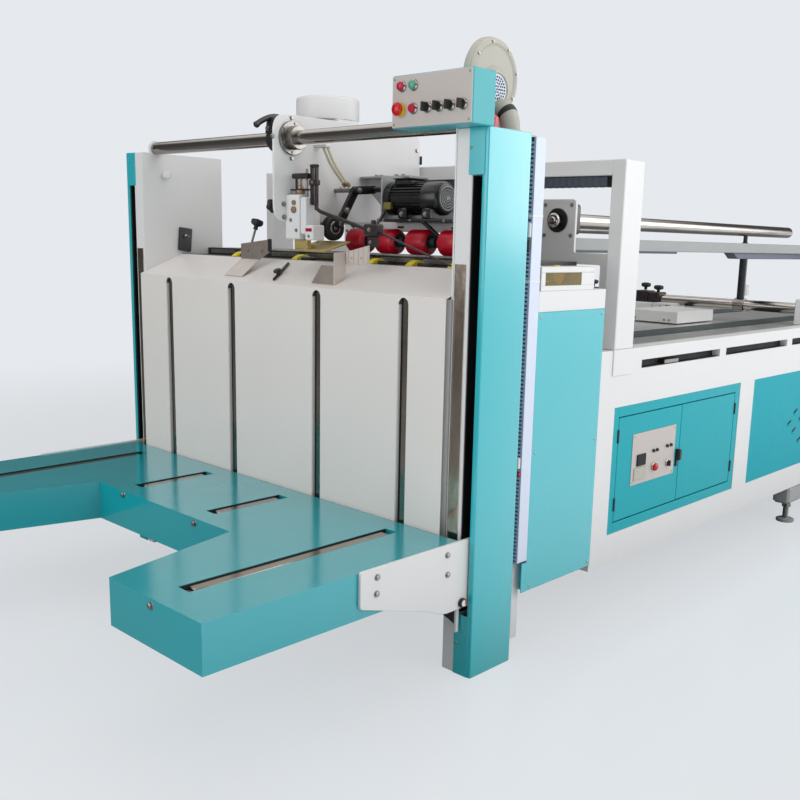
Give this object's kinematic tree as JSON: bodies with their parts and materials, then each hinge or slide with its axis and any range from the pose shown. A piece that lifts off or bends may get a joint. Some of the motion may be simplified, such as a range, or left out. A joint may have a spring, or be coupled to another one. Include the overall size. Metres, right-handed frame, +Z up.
{
  "type": "folder gluer feeding end with lifting stack table and folding section",
  "caption": "Folder gluer for corrugated board: columns with a U-shaped lifting table, slotted front feeder, glue and press head, gantries and a belt bed with folding beams.",
  "frame": {"origin": "on the floor, below the middle of the whole machine at rest", "axes": "+X to the operator's side, across the machine; +Y the way the board travels; +Z up"},
  "size_m": [2.274, 5.83, 2.226],
  "materials": {
    "white_paint": "smooth gloss powder coat",
    "teal_paint": "smooth gloss powder coat",
    "grey_paint": "satin paint",
    "beige_paint": "satin cast housing paint",
    "black_paint": "satin paint",
    "face_plate": "matt printed plate, bare",
    "chrome": "polished",
    "stainless": "polished sheet",
    "steel": "turned",
    "brass": "dull",
    "duct_grey": "slotted trunking",
    "carrier_grey": "link chain",
    "roller_red": "smooth polyurethane",
    "wheel_yellow": "smooth polyurethane",
    "black_rubber": "matt",
    "belt_dark": "flat belt",
    "button_mix": "push buttons and selectors",
    "hose": "thin hose"
  },
  "bodies": {
    "machine_frame": {"column_posts": "white_paint", "column_covers": "teal_paint", "cable_ducts": "duct_grey", "side_plates": "white_paint", "front_wall": "white_paint", "wall_strips": "stainless", "feeder_body": "white_paint", "feeder_panels": "teal_paint", "feeder_caps": "white_paint", "feed_deck": "black_paint", "sheet_guides": "stainless", "cross_shaft": "chrome", "control_box": "teal_paint", "control_buttons": "button_mix", "blower_housing": "beige_paint", "blower_outlet": "beige_paint", "head_plate": "white_paint", "shaft_collar": "steel", "head_clamps": "black_paint", "head_drum": "white_paint", "head_motor": "black_paint", "motor_bracket": "grey_paint", "head_casting": "white_paint", "guide_bars": "black_paint", "head_wheel": "black_rubber", "crank_arms": "black_paint", "head_hoses": "hose", "sole_plate": "brass", "roller_rail": "white_paint", "roller_arms": "black_paint", "side_top_rails": "white_paint", "side_bottom_rails": "white_paint", "side_mullions": "white_paint", "bay_panels": "teal_paint", "door_surround": "teal_paint", "cabinet_shell": "grey_paint", "cross_members": "white_paint", "feet": "grey_paint", "bed_table": "grey_paint", "bed_sheets": "stainless", "bed_belts": "belt_dark", "gantry_posts": "white_paint", "gantry_beams": "white_paint", "cable_carrier": "carrier_grey", "folding_tubes": "chrome", "support_plates": "white_paint", "folding_beams": "grey_paint", "beam_posts": "black_paint", "low_shaft": "chrome", "shaft_blocks": "white_paint", "block_knobs": "black_paint"},
    "lift_table": {"table_back": "teal_paint", "table_arms": "teal_paint", "table_bars": "stainless", "table_brackets": "white_paint"},
    "front_leaf": {"front_door": "teal_paint", "door_controls": "face_plate"},
    "rear_leaf": {"rear_door": "teal_paint"},
    "press_roller_shaft": {"press_rollers": "roller_red"},
    "feed_wheel_shaft": {"feed_wheels": "wheel_yellow"}
  },
  "joints": [
    {"name": "table_lift", "type": "slide", "parent": "machine_frame", "child": "lift_table", "axis": [0, 0, 1], "range_m": [0, 0.75]},
    {"name": "front_door_hinge", "type": "hinge", "parent": "machine_frame", "child": "front_leaf", "pos_m": [1.115, -0.93, 0.618], "axis": [0, 0, -1], "range_deg": [0, 110]},
    {"name": "rear_door_hinge", "type": "hinge", "parent": "machine_frame", "child": "rear_leaf", "pos_m": [1.115, 0.126, 0.618], "axis": [0, 0, 1], "range_deg": [0, 110]},
    {"name": "press_roller_spin", "type": "hinge", "parent": "machine_frame", "child": "press_roller_shaft", "pos_m": [0.3, -1.485, 1.526], "axis": [1, 0, 0], "continuous": true},
    {"name": "feed_wheel_spin", "type": "hinge", "parent": "machine_frame", "child": "feed_wheel_shaft", "pos_m": [0, -1.559, 1.391], "axis": [1, 0, 0], "continuous": true}
  ]
}
